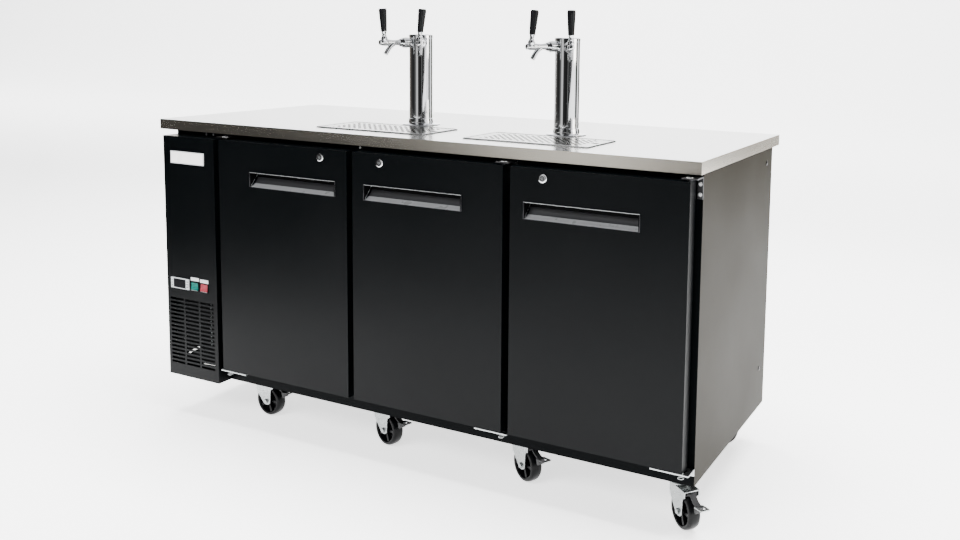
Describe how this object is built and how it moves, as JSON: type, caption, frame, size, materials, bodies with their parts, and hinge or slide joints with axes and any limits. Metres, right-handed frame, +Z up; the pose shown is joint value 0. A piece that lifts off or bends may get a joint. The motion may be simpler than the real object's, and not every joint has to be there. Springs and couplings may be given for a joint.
{
  "type": "kegerator",
  "caption": "Wide insulated draught beer cooler with hinged doors, a steel worktop, tap columns over drip trays, a side machine bay and swivel casters.",
  "frame": {"origin": "middle of the footprint, on the floor under the wheels", "axes": "+X to the right as seen from the doors, +Y to the back, +Z up"},
  "size_m": [1.8906, 0.7662, 1.325],
  "materials": {
    "black_paint": "satin black powder coat",
    "stainless": "fine brushed",
    "chrome": "polished",
    "zinc": "bright zinc plated",
    "pull_metal": "satin",
    "black_plastic": "semi gloss",
    "grey_plastic": "fine satin",
    "green_lens": "translucent look, gloss",
    "red_lens": "translucent look, gloss",
    "white_plate": "satin print stock",
    "gasket_rubber": "soft matt",
    "tread": "hard moulded",
    "aluminium": "mill finish",
    "machine_black": "matt enamel"
  },
  "bodies": {
    "cabinet": {"cabinet_shell": "black_paint", "machine_bay": "black_paint", "grille_panel": "black_paint", "worktop": "stainless", "thermostat": "grey_plastic", "badge_plate": "white_plate", "drip_tray_1": "stainless", "drip_tray_2": "stainless", "column_1": "chrome", "column_2": "chrome", "faucet_1": "chrome", "faucet_2": "chrome", "faucet_3": "chrome", "faucet_4": "chrome", "hinge_top_1": "zinc", "hinge_top_2": "zinc", "hinge_top_3": "zinc", "hinge_bottom_1": "zinc", "hinge_bottom_2": "zinc", "hinge_bottom_3": "zinc", "compressor": "machine_black", "condenser": "aluminium", "evaporator": "aluminium"},
    "door_leaf_1": {"door_1": "black_paint", "door_gasket_1": "gasket_rubber", "door_pull_1": "pull_metal"},
    "lock_1": {"door_lock_1": "chrome"},
    "door_leaf_2": {"door_2": "black_paint", "door_gasket_2": "gasket_rubber", "door_pull_2": "pull_metal"},
    "lock_2": {"door_lock_2": "chrome"},
    "door_leaf_3": {"door_3": "black_paint", "door_gasket_3": "gasket_rubber", "door_pull_3": "pull_metal"},
    "lock_3": {"door_lock_3": "chrome"},
    "tap_lever_1": {"tap_handle_1": "black_plastic"},
    "tap_lever_2": {"tap_handle_2": "black_plastic"},
    "tap_lever_3": {"tap_handle_3": "black_plastic"},
    "tap_lever_4": {"tap_handle_4": "black_plastic"},
    "rocker_green": {"switch_green": "green_lens"},
    "rocker_red": {"switch_red": "red_lens"},
    "grate_1": {"drip_grate_1": "stainless"},
    "grate_2": {"drip_grate_2": "stainless"},
    "fan": {"condenser_fan": "aluminium"},
    "fork_1": {"caster_fork_1": "zinc"},
    "wheel_1": {"caster_wheel_1": "tread"},
    "pedal_1": {"caster_pedal_1": "zinc"},
    "fork_2": {"caster_fork_2": "zinc"},
    "wheel_2": {"caster_wheel_2": "tread"},
    "pedal_2": {"caster_pedal_2": "zinc"},
    "fork_3": {"caster_fork_3": "zinc"},
    "wheel_3": {"caster_wheel_3": "tread"},
    "pedal_3": {"caster_pedal_3": "zinc"},
    "fork_4": {"caster_fork_4": "zinc"},
    "wheel_4": {"caster_wheel_4": "tread"},
    "pedal_4": {"caster_pedal_4": "zinc"},
    "fork_5": {"caster_fork_5": "zinc"},
    "wheel_5": {"caster_wheel_5": "tread"},
    "fork_6": {"caster_fork_6": "zinc"},
    "wheel_6": {"caster_wheel_6": "tread"}
  },
  "joints": [
    {"name": "door_1_hinge", "type": "hinge", "parent": "cabinet", "child": "door_leaf_1", "pos_m": [-0.65377, -0.35895, 0.5455], "axis": [0, 0, -1], "range_deg": [0, 95]},
    {"name": "door_1_lock", "type": "hinge", "parent": "door_leaf_1", "child": "lock_1", "pos_m": [-0.26077, -0.37895, 0.887], "axis": [0, -1, 0], "range_deg": [0, 90]},
    {"name": "door_2_hinge", "type": "hinge", "parent": "cabinet", "child": "door_leaf_2", "pos_m": [0.34673, -0.35895, 0.5455], "axis": [0, 0, 1], "range_deg": [0, 95]},
    {"name": "door_2_lock", "type": "hinge", "parent": "door_leaf_2", "child": "lock_2", "pos_m": [-0.04627, -0.37895, 0.887], "axis": [0, -1, 0], "range_deg": [0, 90]},
    {"name": "door_3_hinge", "type": "hinge", "parent": "cabinet", "child": "door_leaf_3", "pos_m": [0.86823, -0.35895, 0.5455], "axis": [0, 0, 1], "range_deg": [0, 95]},
    {"name": "door_3_lock", "type": "hinge", "parent": "door_leaf_3", "child": "lock_3", "pos_m": [0.47523, -0.37895, 0.887], "axis": [0, -1, 0], "range_deg": [0, 90]},
    {"name": "tap_1_lever", "type": "hinge", "parent": "cabinet", "child": "tap_lever_1", "pos_m": [-0.23087, -0.11328, 1.231], "axis": [0.8746, -0.4848, 0], "range_deg": [0, 28]},
    {"name": "tap_2_lever", "type": "hinge", "parent": "cabinet", "child": "tap_lever_2", "pos_m": [-0.10219, -0.10878, 1.231], "axis": [0.8387, 0.5446, 0], "range_deg": [0, 28]},
    {"name": "tap_3_lever", "type": "hinge", "parent": "cabinet", "child": "tap_lever_3", "pos_m": [0.28923, -0.1122, 1.231], "axis": [0.866, -0.5, 0], "range_deg": [0, 28]},
    {"name": "tap_4_lever", "type": "hinge", "parent": "cabinet", "child": "tap_lever_4", "pos_m": [0.41611, -0.11109, 1.231], "axis": [0.8572, 0.515, 0], "range_deg": [0, 28]},
    {"name": "switch_green_rock", "type": "hinge", "parent": "cabinet", "child": "rocker_green", "pos_m": [-0.77777, -0.37845, 0.4325], "axis": [1, 0, 0], "range_deg": [0, 14]},
    {"name": "switch_red_rock", "type": "hinge", "parent": "cabinet", "child": "rocker_red", "pos_m": [-0.73727, -0.37845, 0.4325], "axis": [1, 0, 0], "range_deg": [0, 14]},
    {"name": "grate_1_lift", "type": "slide", "parent": "cabinet", "child": "grate_1", "axis": [0, 0, 1], "range_m": [0, 0.06]},
    {"name": "grate_2_lift", "type": "slide", "parent": "cabinet", "child": "grate_2", "axis": [0, 0, 1], "range_m": [0, 0.06]},
    {"name": "fan_spin", "type": "hinge", "parent": "cabinet", "child": "fan", "pos_m": [-0.78827, -0.19995, 0.256], "axis": [0, 1, 0], "continuous": true},
    {"name": "caster_1_swivel", "type": "hinge", "parent": "cabinet", "child": "fork_1", "pos_m": [-0.62027, -0.24695, 0.118], "axis": [0, 0, 1], "continuous": true},
    {"name": "caster_1_roll", "type": "hinge", "parent": "fork_1", "child": "wheel_1", "pos_m": [-0.59031, -0.24852, 0.05], "axis": [0.0523, 0.9986, 0], "continuous": true},
    {"name": "caster_1_brake", "type": "hinge", "parent": "fork_1", "child": "pedal_1", "pos_m": [-0.56834, -0.24967, 0.1025], "axis": [0.0523, 0.9986, 0], "range_deg": [0, 9]},
    {"name": "caster_2_swivel", "type": "hinge", "parent": "cabinet", "child": "fork_2", "pos_m": [-0.14127, -0.24395, 0.118], "axis": [0, 0, 1], "continuous": true},
    {"name": "caster_2_roll", "type": "hinge", "parent": "fork_2", "child": "wheel_2", "pos_m": [-0.11244, -0.25222, 0.05], "axis": [0.2756, 0.9613, 0], "continuous": true},
    {"name": "caster_2_brake", "type": "hinge", "parent": "fork_2", "child": "pedal_2", "pos_m": [-0.09129, -0.25828, 0.1025], "axis": [0.2756, 0.9613, 0], "range_deg": [0, 9]},
    {"name": "caster_3_swivel", "type": "hinge", "parent": "cabinet", "child": "fork_3", "pos_m": [0.34973, -0.24895, 0.118], "axis": [0, 0, 1], "continuous": true},
    {"name": "caster_3_roll", "type": "hinge", "parent": "fork_3", "child": "wheel_3", "pos_m": [0.37669, -0.2621, 0.05], "axis": [0.4384, 0.8988, 0], "continuous": true},
    {"name": "caster_3_brake", "type": "hinge", "parent": "fork_3", "child": "pedal_3", "pos_m": [0.39646, -0.27174, 0.1025], "axis": [0.4384, 0.8988, 0], "range_deg": [0, 9]},
    {"name": "caster_4_swivel", "type": "hinge", "parent": "cabinet", "child": "fork_4", "pos_m": [0.84073, -0.28395, 0.118], "axis": [0, 0, 1], "continuous": true},
    {"name": "caster_4_roll", "type": "hinge", "parent": "fork_4", "child": "wheel_4", "pos_m": [0.86404, -0.30283, 0.05], "axis": [0.6293, 0.7771, 0], "continuous": true},
    {"name": "caster_4_brake", "type": "hinge", "parent": "fork_4", "child": "pedal_4", "pos_m": [0.88114, -0.31667, 0.1025], "axis": [0.6293, 0.7771, 0], "range_deg": [0, 9]},
    {"name": "caster_5_swivel", "type": "hinge", "parent": "cabinet", "child": "fork_5", "pos_m": [-0.62027, 0.23905, 0.118], "axis": [0, 0, 1], "continuous": true},
    {"name": "caster_5_roll", "type": "hinge", "parent": "fork_5", "child": "wheel_5", "pos_m": [-0.59093, 0.24529, 0.05], "axis": [-0.2079, 0.9781, 0], "continuous": true},
    {"name": "caster_6_swivel", "type": "hinge", "parent": "cabinet", "child": "fork_6", "pos_m": [0.81973, 0.23905, 0.118], "axis": [0, 0, 1], "continuous": true},
    {"name": "caster_6_roll", "type": "hinge", "parent": "fork_6", "child": "wheel_6", "pos_m": [0.78995, 0.23539, 0.05], "axis": [0.1219, -0.9925, 0], "continuous": true}
  ]
}
